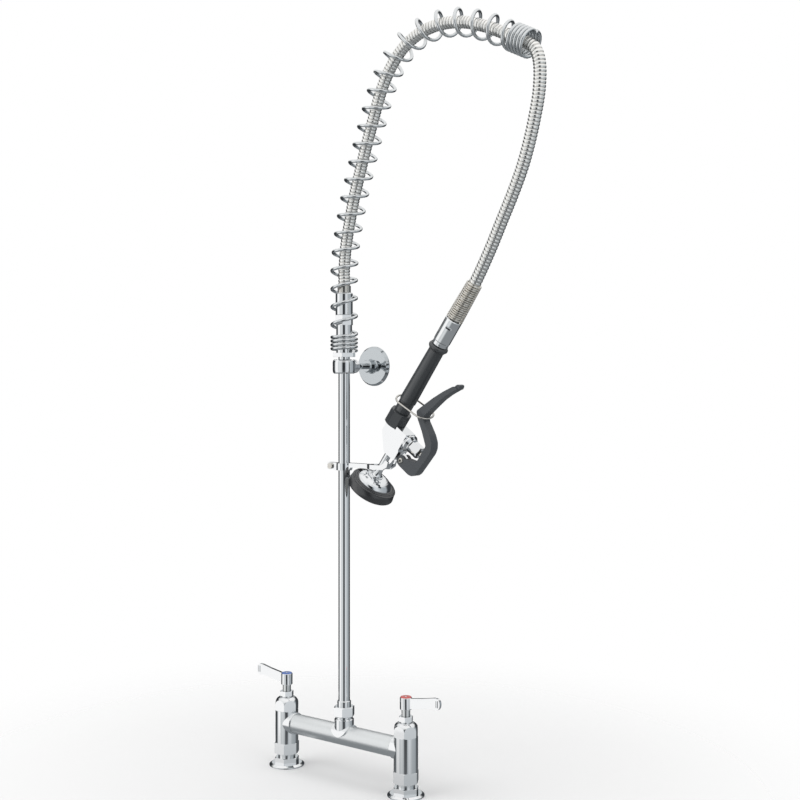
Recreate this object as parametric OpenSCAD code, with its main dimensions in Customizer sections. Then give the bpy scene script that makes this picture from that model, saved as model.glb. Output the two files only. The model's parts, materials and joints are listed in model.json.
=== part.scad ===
// Pre rinse faucet: deck bridge, riser, spring arm, hose and squeeze spray valve.
// Origin at deck level midway between the inlets, X along the bridge, +Y to the wall, +Z up.

/* [Deck pillars] */
// Distance between the two inlets, centre to centre
inlet_spacing = 203.2; // [170:0.1:230]
// Diameter of the deck flange
flange_d = 47; // [42:0.5:56]
// Height of the bevelled deck flange
flange_h = 3.6; // [3:0.1:6]
// Inlet hexagon across corners
inlet_hex_d = 33.8; // [32:0.1:38]
// Height of the inlet hexagon
inlet_hex_h = 7.4; // [5:0.1:12]
// Diameter of the inlet tail above the hexagon
tail_d = 23; // [21:0.1:24]
// Height of tail that shows under the coupling nut
tail_show = 5; // [3:0.1:12]
// Inlet thread bore, half inch pipe
inlet_bore_d = 18.2; // [16:0.1:18.6]
// Depth of the inlet thread
inlet_bore_l = 14; // [10:0.5:14]
// Coupling nut across corners
union_hex_d = 34.4; // [33.4:0.1:40]
// Height of the coupling nut
union_h = 15; // [14:0.1:20]
// Pillar diameter
pillar_d = 30.7; // [30:0.1:34]
// Pillar height above the coupling nut
pillar_h = 43; // [41:0.5:60]
// Bonnet hexagon across corners
bonnet_hex_d = 32.4; // [30:0.1:36]
// Height of the domed bonnet
bonnet_h = 18; // [15:0.5:24]
// Gland nut across corners
gland_d = 18.7; // [16.5:0.1:22]
// Height of the gland nut
gland_h = 6.5; // [5:0.1:9]

/* [Lever handles] */
// Stem diameter that shows under the hub
stem_d = 11; // [9:0.1:13]
// Height of stem that shows above the gland nut
stem_show = 8.5; // [5:0.1:14]
// Hub diameter
hub_d = 15.3; // [14.8:0.1:20]
// Hub height
hub_h = 15; // [14:0.1:20]
// Reach of the lever from the stem axis
lever_l = 54; // [40:1:80]
// Height of the blade at the hub
lever_h = 13; // [9:0.1:13.5]
// Thickness of the blade
lever_t = 4; // [3:0.1:6]
// Upward slope of the blade in degrees
lever_rise = 8; // [0:0.5:12]
// Diameter of the index button
index_d = 14; // [12.6:0.1:14.4]

/* [Bridge and outlet] */
// Bridge tube diameter
bridge_d = 26; // [24:0.1:27]
// Bridge tube wall
bridge_wall = 2; // [1:0.1:3]
// Height of the bridge axis above the pillar foot
bridge_up = 26.6; // [25:0.1:27.5]
// Outlet boss diameter
tee_d = 25.4; // [24:0.1:28]
// Height of the boss above the bridge axis
tee_up = 22.4; // [19:0.1:34]
// Riser nut across corners
riser_nut_d = 28.4; // [26.6:0.1:34]
// Height of the riser nut
riser_nut_h = 12.5; // [12:0.1:18]
// Height of the sleeve above the riser nut
sleeve_show = 7.5; // [3:0.1:20]

/* [Riser] */
// Riser pipe diameter
riser_d = 15; // [14:0.1:15.4]
// Riser pipe wall
riser_wall = 1.3; // [1:0.1:2]
// Length of riser between the sleeve and the top nut
riser_l = 446.5; // [380:0.5:560]
// Top nut across corners, the spring's seat
top_nut_d = 30.8; // [29.5:0.1:36]
// Height of the top nut
top_nut_h = 5.5; // [4:0.1:10]
// Adapter diameter
adapter_d = 20.6; // [20:0.1:23]
// Adapter length below its hexagon
adapter_l = 36; // [26:0.5:60]
// Swivel nut diameter
swivel_nut_d = 22.4; // [22:0.1:24]
// Swivel nut length
swivel_nut_l = 29; // [27:0.5:40]
// Hose ferrule diameter
ferrule_d = 17.4; // [16.6:0.1:18]

/* [Wall bracket] */
// Collar diameter
collar_d = 30; // [26:0.1:34]
// Collar height
collar_h = 18.6; // [18:0.1:24]
// Gap between the collar and the top nut
collar_gap = 3; // [1:0.1:20]
// Distance from the riser axis to the wall
wall_reach = 62; // [54:0.5:120]
// Wall flange diameter
wall_flange_d = 52.7; // [44:0.1:70]

/* [Hook] */
// Thickness of each fork strip
strip_t = 2.8; // [2:0.1:3.2]
// Reach of the fork from the riser axis
fork_reach = 80; // [76:0.5:90]
// Clear gap between the prongs
fork_gap = 13; // [12.4:0.1:16]
// Height of the fork arm
fork_arm_h = 5.8; // [4:0.1:7]

/* [Overhead spring] */
// Wire diameter
coil_wire = 4.2; // [3:0.1:4.2]
// Outer diameter of the coil
coil_d = 36.2; // [35.4:0.1:38]
// Pitch of the open coils
coil_pitch = 23.2; // [23:0.1:23.4]
// Closed turns at the foot
coil_foot_turns = 4; // [3:1:4]
// Open turns along the arm
coil_open_turns = 23; // [22:1:24]
// Extra length that the open turns take up over the bend
coil_stretch = 23.2; // [0:0.1:30]
// Closed turns at the tip
coil_tip_turns = 5.5; // [3:0.5:5.5]

/* [Hose] */
// Hose diameter
hose_d = 15.4; // [14:0.1:15.6]
// Hose bore
hose_bore = 9; // [8:0.1:10]
// Number of ribs
hose_ribs = 90; // [60:1:90]

/* [Spray valve] */
// Distance of the collar nut from the riser axis
gun_x = 89; // [88:0.1:92]
// Drop of the collar nut below the hose's riser end
gun_drop = 169.5; // [168:0.5:171]
// Lean of the handle from upright, in degrees
gun_tilt = 35.4; // [35:0.1:36]
// Collar nut across corners
collar_nut_d = 28; // [27:0.1:30]
// Grip length above the collar nut
grip_l = 102.5; // [100:0.5:104]
// Grip diameter at the foot
grip_d = 21.6; // [20.5:0.1:23]
// Bulge diameter at the top of the grip
bulge_d = 25.7; // [24:0.1:28]
// Hose socket diameter
socket_d = 21.8; // [21.6:0.1:23]
// Neck diameter
neck_d = 9; // [8:0.1:10]
// Spray head diameter
head_d = 47; // [44:0.5:49]
// Bumper diameter
bumper_d = 63.6; // [61:0.2:66]
// Number of spray holes in the outer ring
spray_holes = 24; // [12:1:36]

/* [Squeeze lever] */
// Width of the squeeze lever
squeeze_w = 14; // [12:0.5:16]
// Wire diameter of the hold down ring
ring_wire = 2.3; // [2:0.1:2.6]
// Sideways width of the hold down ring
ring_w = 29; // [28:0.5:34]

/* [Hidden] */
$fn = 64;

fit = 0.05;
slide_fit = 0.06;

chrome = "#d4d7da";
satin = "#b9b9b6";
steel = "#a9a49a";
rubber = "#2b2c2e";
plastic = "#3a3c3f";
brass = "#c3a35a";
white = "#e8e6e0";

// pillar levels
z_hex = flange_h;
z_tail = z_hex + inlet_hex_h;
z_union = z_tail + tail_show;
union_lip = 4;
z_lip = z_union + union_lip;
tail_flange_h = 3.6;
washer_h = 1.6;
z_washer = z_lip + tail_flange_h;
z_spigot = z_washer + washer_h;
z_pillar = z_union + union_h;
z_seat = z_pillar + 10;
bonnet_screw = 10;
z_pillar_top = z_pillar + pillar_h;
z_cart_top = z_pillar_top - bonnet_screw;
z_bonnet_top = z_pillar_top + bonnet_h;
spout_h = 1;
z_gland = z_bonnet_top + spout_h;
gland_in = 6;
z_gland_top = z_gland + gland_h;
z_stem = z_gland_top + 0.2;
z_hub = z_gland_top + stem_show;
z_hub_top = z_hub + hub_h;
union_bore_r = 13.4;
chamber_r = 12.05;
shaft_r = 4;
cart_floor = 3.5;
disc_h = 3;
z_disc = z_seat + cart_floor;
z_drive = z_disc + disc_h;
disc_port = 5;
disc_port_r = 2.4;

// outlet and riser levels
z_bridge = z_pillar + bridge_up;
z_tee = z_bridge + tee_up;
tee_ring_h = 3;
z_rnut = z_tee + tee_ring_h;
tee_screw = 7;
z_twasher = z_rnut + tee_screw;
z_sleeve = z_twasher + 1.5;
sleeve_r = 8.9;
z_rnut_top = z_rnut + riser_nut_h;
z_sleeve_top = z_rnut_top + sleeve_show;
z_top_nut = z_sleeve_top + riser_l;
z_adapter = z_top_nut + top_nut_h;
riser_in = 13;
z_adapter_hex = z_adapter + adapter_l;
adapter_hex_h = 13;
z_snut = z_adapter_hex + adapter_hex_h;
snut_lip = 4;
z_snut_top = z_snut + swivel_nut_l;
adapter_screw = 16;
ferrule_show = 9;
z_hose = z_snut_top + ferrule_show;
z_collar_top = z_top_nut - collar_gap;
z_collar_mid = z_collar_top - collar_h / 2;

// spray valve frame: x across towards the lever, z up the handle
gun_z = z_hose - gun_drop;
s_body = -10;
s_plunger = -15;
t_end = -4.4;
s_cross = -39.4;
block_w = 19;
t_seat = 16;
t_port = 20.5;
rod_r = 2.2;
s_cnut_top = 10.5;
s_sleeve_top = 27;
s_grip_top = s_cnut_top + grip_l;
ring_h = 5;
s_socket = s_grip_top + ring_h;
socket_h = 32;
s_hose = s_socket + socket_h;
neck_t = 14.3;
s_neck_end = -80.5;
s_skirt = -92.5;
head_t = 17.2;
s_bumper = -89.1;
bumper_h = 14.1;
bumper_line = [[head_d / 2 - 0.2, 0], [bumper_d / 2 - 2.5, -1.5], [bumper_d / 2 - 1.9, -1.8],
  [bumper_d / 2 - 1.7, -2.3], [bumper_d / 2, 2.4 - bumper_h], [bumper_d / 2 - 0.4, 1.2 - bumper_h],
  [bumper_d / 2 - 1.6, -bumper_h]];
t_lever_pad = 58.8;
t_nut_end = 53.5;
pivot = [38.3, -37.3];
pin_r = 2;
tube_r = 7;

function gun_pt(t, s) = [gun_x + t * cos(gun_tilt) + s * sin(gun_tilt),
  gun_z - t * sin(gun_tilt) + s * cos(gun_tilt)];

// hook levels follow the bumper's top edge
hook_gap = 0.7;
bumper_edge = [for (p = bumper_line) gun_pt(head_t - p[0], s_bumper + p[1])[1]];
z_arm = max(bumper_edge) + hook_gap;
z_arm_top = z_arm + fork_arm_h;
z_clip = z_arm - 4;
z_clip_top = z_arm_top - 0.6;
x_spread = 42;
ear_l = 26.5;
ear_screw = 20.5;

// route of the spring arm and hose, X and Z from the hose's foot
hose_tail = [gun_pt(0, s_hose + 53), gun_pt(0, s_hose + 26), gun_pt(0, s_hose)];
arm_route = [[0, 0], [0, 10], [0, 20], [3, 50], [9, 80], [17, 113], [27, 146], [38, 180], [50, 214],
  [62, 246], [77, 273], [97, 295], [124, 310], [156, 316], [190, 313], [222, 303], [246, 292],
  [264, 283], [282, 274], [293, 264], [298, 245], [297, 216], [291, 186], [283, 156], [273, 127],
  [260, 98], [245, 68], [228, 34]];
foot_l = z_hose - z_adapter - coil_wire / 2 - fit;
route = concat([[0, z_hose - foot_l], [0, z_hose - foot_l / 2]],
  [for (p = arm_route) [p[0], p[1] + z_hose]], hose_tail);

function blend4(a, b, c, d, t) = 0.5 * (2 * b + (c - a) * t + (2 * a - 5 * b + 4 * c - d) * t * t
  + (3 * b - a - 3 * c + d) * t * t * t);
function smooth(p, n) = [for (i = [0 : len(p) - 2]) for (j = [0 : n - 1])
  blend4(p[max(i - 1, 0)], p[i], p[i + 1], p[min(i + 2, len(p) - 1)], j / n), p[len(p) - 1]];
function lengths(p) = [for (i = 0, a = 0; i < len(p);
  a = a + (i + 1 < len(p) ? norm(p[i + 1] - p[i]) : 0), i = i + 1) a];

line = smooth(route, 8);
line_s = lengths(line);
line_l = line_s[len(line_s) - 1];
table_x = [for (i = [0 : len(line) - 1]) [line_s[i], line[i][0]]];
table_z = [for (i = [0 : len(line) - 1]) [line_s[i], line[i][1]]];
function on_line(s) = [lookup(s, table_x), 0, lookup(s, table_z)];
function unit(v) = v / norm(v);
function way(s) = unit(on_line(min(s + 2, line_l)) - on_line(max(s - 2, 0)));
function side(s) = let (w = way(s)) [w[2], 0, -w[0]];

// coil turn number to arc length along the arm
closed_pitch = coil_wire + 0.8;
coil_turns = coil_foot_turns + coil_open_turns + coil_tip_turns;
coil_r = coil_d / 2 - coil_wire / 2;
function ease(t) = let (k = max(0, min(1, t))) k * k * (3 - 2 * k);
function open_s(w) = coil_pitch * w
  + coil_stretch * ease((w - coil_open_turns * 0.62) / (coil_open_turns * 0.34));
function coil_s(u) = closed_pitch * min(u, coil_foot_turns)
  + open_s(max(0, min(u - coil_foot_turns, coil_open_turns)))
  + closed_pitch * max(0, u - coil_foot_turns - coil_open_turns);
// the arm's last turns stand straight, so that closed turns never meet on the inside of the bend
tip_s = coil_s(coil_foot_turns + coil_open_turns) - 12;
function coil_axis(s) = s < tip_s ? on_line(s) : on_line(tip_s) + (s - tip_s) * way(tip_s);
function coil_pt(u) = let (s = coil_s(u)) coil_axis(s)
  + coil_r * (cos(360 * u) * side(min(s, tip_s)) + sin(360 * u) * [0, 1, 0]);
coil_path = [for (k = [0 : round(coil_turns * 8)]) coil_pt(k / 8)];

relief_wire = 1.7;
relief_turns = 19.5;
relief_pitch = 2.66;
relief_r0 = 10.35;
relief_r1 = 9.05;
function relief_pt(u) = let (r = relief_r0 + (relief_r1 - relief_r0) * u / relief_turns)
  [r * cos(360 * u), r * sin(360 * u), s_hose + relief_wire / 2 + fit + relief_pitch * u];
relief_path = [for (k = [0 : round(relief_turns * 8)]) relief_pt(k / 8)];

function least_gap(p, wire) = min([for (i = [0 : len(p) - 5]) for (j = [i + 4 : min(i + 20, len(p) - 1)])
  norm(p[i] - p[j])]) - wire;
echo(str("overhead spring least gap ", least_gap(coil_path, coil_wire)));
echo(str("strain relief least gap ", least_gap(relief_path, relief_wire)));
echo(str("spring ends at ", coil_axis(coil_s(coil_turns)), " arc ", coil_s(coil_turns)));
echo(str("hose length ", line_l - foot_l, " end ", on_line(line_l)));
echo(str("levels bridge ", z_bridge, " hose ", z_hose, " gun ", gun_z, " arm ", z_arm));

function ring_dir(p, i) = unit(p[min(i + 1, len(p) - 1)] - p[max(i - 1, 0)]);
function ring_pts(c, u, v, r, n) =
  [for (k = [0 : n - 1]) c + r * (cos(360 * k / n) * u + sin(360 * k / n) * v)];
function grid_faces(rings, n) = [for (i = [0 : rings - 2]) for (k = [0 : n - 1])
  let (a = i * n + k, b = i * n + (k + 1) % n, c = a + n, d = b + n) each [[a, c, b], [b, c, d]]];
function fan(start, n, flip) = [for (k = [1 : n - 2]) flip ? [start, start + k + 1, start + k]
  : [start, start + k, start + k + 1]];

// wire of round section along p, with each section's first arm set outward from its axis
module wire_tube(p, outs, r, n = 6) {
  pts = [for (i = [0 : len(p) - 1])
    let (w = ring_dir(p, i), v = unit(cross(w, outs[i])), u = cross(v, w)) each ring_pts(p[i], u, v, r, n)];
  polyhedron(points = pts,
    faces = concat(grid_faces(len(p), n), fan(0, n, false), fan((len(p) - 1) * n, n, true)));
}

// rounded outline: each corner becomes a short curve that starts r before it
function toward(a, b, r) = a + (b - a) * min(0.45, r / norm(b - a));
function soft(p, r, n = 3) = [for (i = [0 : len(p) - 1])
  let (a = toward(p[i], p[(i + len(p) - 1) % len(p)], r), b = toward(p[i], p[(i + 1) % len(p)], r))
  for (j = [0 : n]) let (t = j / n) (1 - t) * (1 - t) * a + 2 * t * (1 - t) * p[i] + t * t * b];
function arc(c, r, a, b, n) =
  [for (j = [0 : n]) c + r * [cos(a + (b - a) * j / n), sin(a + (b - a) * j / n)]];

module nut(d, h, low, top, sides = 6) {
  intersection() {
    cylinder(d = d, h = h, $fn = sides);
    rotate_extrude() polygon([[0, 0], [d / 2 - low, 0], [d / 2 + 1, (low + 1) * 0.6],
      [d / 2 + 1, h - (top + 1) * 0.6], [d / 2 - top, h], [0, h]]);
  }
}
module hot() { translate([inlet_spacing / 2, 0, 0]) children(); }
module cold() { translate([-inlet_spacing / 2, 0, 0]) rotate([0, 0, 180]) children(); }
module gun() { translate([gun_x, 0, gun_z]) rotate([0, gun_tilt, 0]) children(); }
module across(t) { translate([t, 0, s_plunger]) rotate([0, 90, 0]) children(); }
module profile_y(w) { rotate([90, 0, 0]) linear_extrude(height = w, center = true) children(); }

// ---- pillar pieces, outward along +X ----
module inlet() {
  color(chrome) difference() {
    union() {
      rotate_extrude() polygon([[0, 0], [flange_d / 2, 0], [flange_d / 2, flange_h * 0.4],
        [flange_d / 2 - 3.2, flange_h], [0, flange_h]]);
      translate([0, 0, z_hex]) nut(inlet_hex_d, inlet_hex_h, 0.5, 1.6);
      translate([0, 0, z_tail]) cylinder(d = tail_d, h = z_washer - z_tail);
      translate([0, 0, z_lip]) cylinder(r = union_bore_r - fit, h = tail_flange_h);
    }
    translate([0, 0, -1]) cylinder(d = inlet_bore_d, h = inlet_bore_l + 1);
    cylinder(r = 7.5, h = z_washer + 1);
  }
}
module union_washer() {
  color(rubber) translate([0, 0, z_washer]) difference() {
    cylinder(r = union_bore_r - 0.3, h = washer_h);
    translate([0, 0, -1]) cylinder(r = 7.8, h = washer_h + 2);
  }
}
module coupling_nut() {
  color(chrome) translate([0, 0, z_union]) difference() {
    nut(union_hex_d, union_h, 2.6, 1);
    translate([0, 0, -1]) cylinder(d = tail_d + 2 * fit, h = union_h);
    translate([0, 0, union_lip]) cylinder(r = union_bore_r, h = union_h);
  }
}
module pillar() {
  color(chrome) difference() {
    union() {
      translate([0, 0, z_pillar]) cylinder(d = pillar_d, h = pillar_h);
      translate([0, 0, z_spigot]) cylinder(r = union_bore_r - fit, h = z_pillar - z_spigot + 1);
      translate([0, 0, z_bridge]) rotate([0, -90, 0]) rotate_extrude()
        polygon([[0, 0], [14.4, 0], [14.4, 16.8], [14, 17.4], [0, 17.4]]);
    }
    translate([0, 0, z_spigot - 1]) cylinder(r = 7.8, h = z_seat - z_spigot - 3);
    translate([0, 0, z_seat - 6]) cylinder(r = 6.5, h = 8);
    translate([0, 0, z_seat]) cylinder(r = chamber_r, h = z_pillar_top - z_seat + 1);
    translate([-13.6, 0, z_bridge]) rotate([0, -90, 0]) cylinder(d = bridge_d + 2 * fit, h = 10);
    translate([0, 0, z_bridge]) rotate([0, -90, 0]) cylinder(r = 8, h = 20);
  }
}
module cartridge() {
  zc = z_drive + 3;
  color(brass) difference() {
    translate([0, 0, z_seat]) cylinder(r = chamber_r - fit, h = z_cart_top - z_seat);
    translate([0, 0, z_seat - 1]) translate([3.2, 0, 0]) cylinder(r = 3, h = cart_floor + 2, $fn = 32);
    translate([0, 0, z_disc]) cylinder(r = 10, h = z_cart_top - 5 - z_disc);
    translate([0, 0, z_disc]) cylinder(r = shaft_r + slide_fit, h = z_cart_top - z_disc + 1);
    translate([0, 0, zc + 2.5]) rotate([0, -90, 0]) cylinder(r = 4.5, h = 20, $fn = 32);
  }
}
// the port in disc and stem lies a quarter turn from the cartridge's own, on the side the lever comes from
module disc(side) {
  color(white) translate([0, 0, z_disc + 0.1]) difference() {
    cylinder(r = 9.7, h = disc_h - 0.1);
    translate([0, side * disc_port, -1]) cylinder(r = disc_port_r, h = disc_h + 2, $fn = 32);
  }
}
module bonnet() {
  top_r = 7.6;
  color(chrome) difference() {
    union() {
      translate([0, 0, z_cart_top]) cylinder(r = chamber_r - fit, h = bonnet_screw + 1);
      intersection() {
        translate([0, 0, z_pillar_top]) cylinder(d = bonnet_hex_d, h = bonnet_h + spout_h, $fn = 6);
        translate([0, 0, z_pillar_top]) rotate_extrude() polygon(concat(
          [[0, 0], [bonnet_hex_d / 2 - 1, 0], [bonnet_hex_d / 2 + 1, 1.4]],
          [for (a = [8 : 12 : 80]) [top_r + (bonnet_hex_d / 2 - top_r) * cos(a),
            bonnet_h * 0.42 + bonnet_h * 0.58 * sin(a)]],
          [[top_r, bonnet_h], [top_r, bonnet_h + spout_h], [0, bonnet_h + spout_h]]));
      }
    }
    cylinder(r = shaft_r + slide_fit, h = z_gland + 5);
    translate([0, 0, z_gland - gland_in]) cylinder(r = 6.3, h = gland_in + 5);
  }
}
module gland_nut() {
  color(chrome) difference() {
    union() {
      translate([0, 0, z_gland - gland_in]) cylinder(r = 6.3 - fit, h = gland_in + 1);
      translate([0, 0, z_gland]) nut(gland_d, gland_h, 0.6, 1.2);
    }
    cylinder(r = shaft_r + slide_fit, h = z_gland_top + 5);
  }
}
module stem(side) {
  color(brass) difference() {
    union() {
      translate([0, 0, z_drive]) cylinder(r = shaft_r, h = z_stem - z_drive + 1);
      translate([0, 0, z_drive]) cylinder(r = 8, h = 2.4);
      translate([0, 0, z_stem]) cylinder(d = stem_d, h = z_hub - z_stem);
      translate([-3.4, -3.4, z_hub - 1]) cube([6.8, 6.8, 8.2]);
    }
    translate([0, 0, z_hub - 4]) cylinder(r = 2.2 + fit, h = 20, $fn = 32);
    translate([0, side * disc_port, z_drive - 1]) cylinder(r = disc_port_r, h = 4, $fn = 32);
  }
}
module lever() {
  k = tan(lever_rise);
  w = lever_l - 6;
  color(chrome) difference() {
    union() {
      translate([0, 0, z_hub]) rotate_extrude() polygon([[0, 0], [hub_d / 2 - 0.5, 0], [hub_d / 2, 0.6],
        [hub_d / 2, hub_h - 0.5], [hub_d / 2 - 0.4, hub_h], [0, hub_h]]);
      translate([0, 0, z_hub + 0.8]) profile_y(lever_t) polygon(soft([[3, 0], [w * 0.6, k * w * 0.6 + 0.4],
        [w - 6, k * w - 0.2], [w - 2, k * w - 1.4], [w + 2.4, k * w - 0.8], [w + 5.2, k * w + 2.2],
        [w + 6, k * w + 6.4], [w + 5.2, k * w + lever_h - 2], [w + 2.2, k * w + lever_h + 0.4],
        [w - 3, k * w + lever_h + 0.6], [w * 0.6, k * w * 0.6 + lever_h], [3, lever_h]], 2));
      translate([w + 1.4, 0, z_hub + 3.2 + k * w])
        cylinder(r = lever_t / 2 + 0.7, h = lever_h - 4.6, $fn = 32);
    }
    translate([-3.45, -3.45, z_hub - 1]) cube([6.9, 6.9, 8.4]);
    cylinder(r = 2.2 + fit, h = z_hub_top, $fn = 32);
    translate([0, 0, z_hub + 9.2]) cylinder(r = 6, h = hub_h);
  }
}
module lever_screw() {
  color(steel) translate([0, 0, z_hub + 9.2]) difference() {
    union() {
      translate([0, 0, -11]) cylinder(r = 2.2, h = 12, $fn = 32);
      cylinder(r = 4.3, h = 2.4, $fn = 32);
    }
    translate([0, 0, 1.2]) cylinder(d = 4, h = 3, $fn = 6);
  }
}
module index_button(tone) {
  color(tone) union() {
    translate([0, 0, z_hub + 11.6]) cylinder(r = 6 - fit, h = hub_h - 11.4);
    translate([0, 0, z_hub_top]) rotate_extrude() polygon([[0, 0], [index_d / 2, 0], [index_d / 2, 0.4],
      [index_d / 2 - 0.6, 0.9], [0, 1]]);
  }
}

// ---- bridge, outlet and riser ----
module bridge_tube() {
  l = inlet_spacing - 2 * 13.65;
  color(satin) difference() {
    translate([-l / 2, 0, z_bridge]) rotate([0, 90, 0]) cylinder(d = bridge_d, h = l);
    translate([-l / 2 - 1, 0, z_bridge]) rotate([0, 90, 0])
      cylinder(r = bridge_d / 2 - bridge_wall, h = l + 2);
    translate([0, 0, z_bridge]) cylinder(r = 6.5, h = bridge_d);
  }
}
module outlet_tee() {
  h = tee_up + tee_ring_h;
  color(chrome) difference() {
    union() {
      translate([0, 0, z_bridge]) cylinder(d = tee_d, h = tee_up - 2);
      translate([0, 0, z_tee - 2]) rotate_extrude() polygon([[0, 0], [tee_d / 2, 0], [tee_d / 2, 0.6],
        [tee_d / 2 - 1.6, 2], [tee_d / 2 - 1.6, 4], [tee_d / 2 - 0.4, 5], [0, 5]]);
      translate([0, 0, z_rnut]) cylinder(r = 10.5, h = tee_screw);
      intersection() {
        translate([-20, 0, z_bridge]) rotate([0, 90, 0]) cylinder(r = bridge_d / 2 + 1.8, h = 40);
        profile_y(60) translate([0, z_bridge]) polygon(soft([[-tee_d / 2, 16], [-tee_d / 2, 10],
          [-tee_d * 0.42, 5.5], [-tee_d * 0.23, 1.6], [0, -0.6], [tee_d * 0.23, 1.6], [tee_d * 0.42, 5.5],
          [tee_d / 2, 10], [tee_d / 2, 16]], 3));
      }
    }
    translate([-30, 0, z_bridge]) rotate([0, 90, 0]) cylinder(d = bridge_d + 2 * fit, h = 60);
    translate([0, 0, z_bridge]) cylinder(r = 6.5, h = h + 20);
  }
}
module tee_washer() {
  color(rubber) translate([0, 0, z_twasher]) difference() {
    cylinder(r = 10.3, h = 1.5);
    translate([0, 0, -1]) cylinder(r = 6.5, h = 4);
  }
}
module riser_nut() {
  color(chrome) translate([0, 0, z_rnut]) difference() {
    nut(riser_nut_d, riser_nut_h, 1.6, 2.2);
    translate([0, 0, -1]) cylinder(r = 10.5 + fit, h = tee_screw + 4.5);
    translate([0, 0, 1]) cylinder(r = sleeve_r + fit, h = riser_nut_h);
  }
}
module riser_sleeve() {
  color(chrome) difference() {
    union() {
      translate([0, 0, z_sleeve]) cylinder(r = 10.4, h = 2);
      translate([0, 0, z_sleeve]) rotate_extrude() polygon([[0, 0], [sleeve_r, 0],
        [sleeve_r, z_sleeve_top - z_sleeve - 0.8], [sleeve_r - 0.8, z_sleeve_top - z_sleeve],
        [0, z_sleeve_top - z_sleeve]]);
    }
    cylinder(r = riser_d / 2 + fit, h = z_sleeve_top + 1);
  }
}
module riser_pipe() {
  color(chrome) translate([0, 0, z_sleeve]) difference() {
    cylinder(d = riser_d, h = z_adapter + riser_in - z_sleeve);
    translate([0, 0, -1]) cylinder(r = riser_d / 2 - riser_wall, h = z_adapter);
  }
}
module riser_top_nut() {
  color(chrome) translate([0, 0, z_top_nut]) difference() {
    nut(top_nut_d, top_nut_h, 0.8, 0.8);
    translate([0, 0, -1]) cylinder(r = riser_d / 2 + fit, h = top_nut_h + 2);
  }
}
module hose_adapter() {
  color(chrome) difference() {
    union() {
      translate([0, 0, z_adapter]) cylinder(d = adapter_d, h = adapter_l);
      translate([0, 0, z_adapter_hex]) nut(24, adapter_hex_h, 0.8, 0.8);
      translate([0, 0, z_snut]) cylinder(r = 9.2, h = adapter_screw);
    }
    translate([0, 0, z_adapter - 1]) cylinder(r = riser_d / 2 + fit, h = riser_in + 1);
    translate([0, 0, z_adapter]) cylinder(r = 5.5, h = 200);
  }
}
module adapter_nut() {
  color(chrome) translate([0, 0, z_snut]) difference() {
    rotate_extrude() polygon([[0, 0], [swivel_nut_d / 2 - 0.5, 0], [swivel_nut_d / 2, 0.6],
      [swivel_nut_d / 2, swivel_nut_l - 1.4], [swivel_nut_d / 2 - 1, swivel_nut_l], [0, swivel_nut_l]]);
    translate([0, 0, -1]) cylinder(r = 9.2 + fit, h = swivel_nut_l - snut_lip + 1);
    translate([0, 0, 1]) cylinder(r = ferrule_d / 2 + fit, h = swivel_nut_l);
  }
}
module riser_ferrule() {
  z0 = z_snut + adapter_screw;
  color(steel) difference() {
    union() {
      translate([0, 0, z0]) cylinder(r = ferrule_d / 2 - 0.4, h = z_snut_top - snut_lip - z0);
      translate([0, 0, z_snut_top - snut_lip - 3]) cylinder(r = 9.2, h = 3);
      translate([0, 0, z_snut_top - snut_lip]) cylinder(d = ferrule_d, h = z_hose - z_snut_top + snut_lip);
    }
    cylinder(d = hose_bore, h = z_hose + 5);
  }
}

// ---- hook: two mirrored strips clamped round the riser ----
module hook_strip(s) {
  y0 = 0.3;
  y1 = y0 + strip_t;
  g = fork_gap / 2;
  ri = riser_d / 2 + fit;
  plan = [[-ear_l, y0], [fork_reach > 0 ? x_spread : 0, y0], [x_spread + 9, g], [fork_reach, g],
    [fork_reach, g + strip_t], [x_spread + 8, g + strip_t], [x_spread - 1, y1], [-ear_l, y1]];
  e = fork_reach;
  front = [[-ear_l, z_clip + 1], [1.5 - ear_l, z_clip], [9.6, z_clip], [13, z_arm], [e - 9, z_arm],
    [e - 2, z_arm + 4], [e, z_arm + 10.5], [e - 4, z_arm + 12.5], [e - 8, z_arm_top + 2.4],
    [e - 13, z_arm_top], [13, z_arm_top], [10, z_clip_top], [1.5 - ear_l, z_clip_top],
    [-ear_l, z_clip_top - 1]];
  color(chrome) scale([1, s, 1]) difference() {
    union() {
      intersection() {
        translate([0, 0, z_clip - 5]) linear_extrude(height = 40) polygon(plan);
        profile_y(60) polygon(front);
      }
      translate([0, 0, z_clip]) intersection() {
        cylinder(r = ri + strip_t, h = z_clip_top - z_clip);
        translate([-20, y0, -1]) cube([40, 20, 40]);
      }
    }
    translate([0, 0, z_clip - 1]) cylinder(r = ri, h = 40);
    translate([-ear_screw, 0, (z_clip + z_clip_top) / 2]) rotate([-90, 0, 0]) cylinder(r = 2 + fit, h = 20);
  }
}
module hook_front() { mirror([0, 1, 0]) hook_strip(1); }
module hook_back() { hook_strip(1); }
module hook_screw() {
  y1 = 0.3 + strip_t;
  color(steel) translate([-ear_screw, 0, (z_clip + z_clip_top) / 2]) difference() {
    union() {
      translate([0, -y1, 0]) rotate([-90, 0, 0]) cylinder(r = 2, h = 2 * y1 + 4);
      translate([0, -y1 - 2.6, 0]) rotate([-90, 0, 0]) cylinder(r = 3.8, h = 2.6);
      translate([0, y1, 0]) rotate([-90, 0, 0]) cylinder(d = 7.6, h = 3, $fn = 6);
    }
    translate([-4.5, -y1 - 3.6, -0.5]) cube([9, 2, 1]);
  }
}

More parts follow.
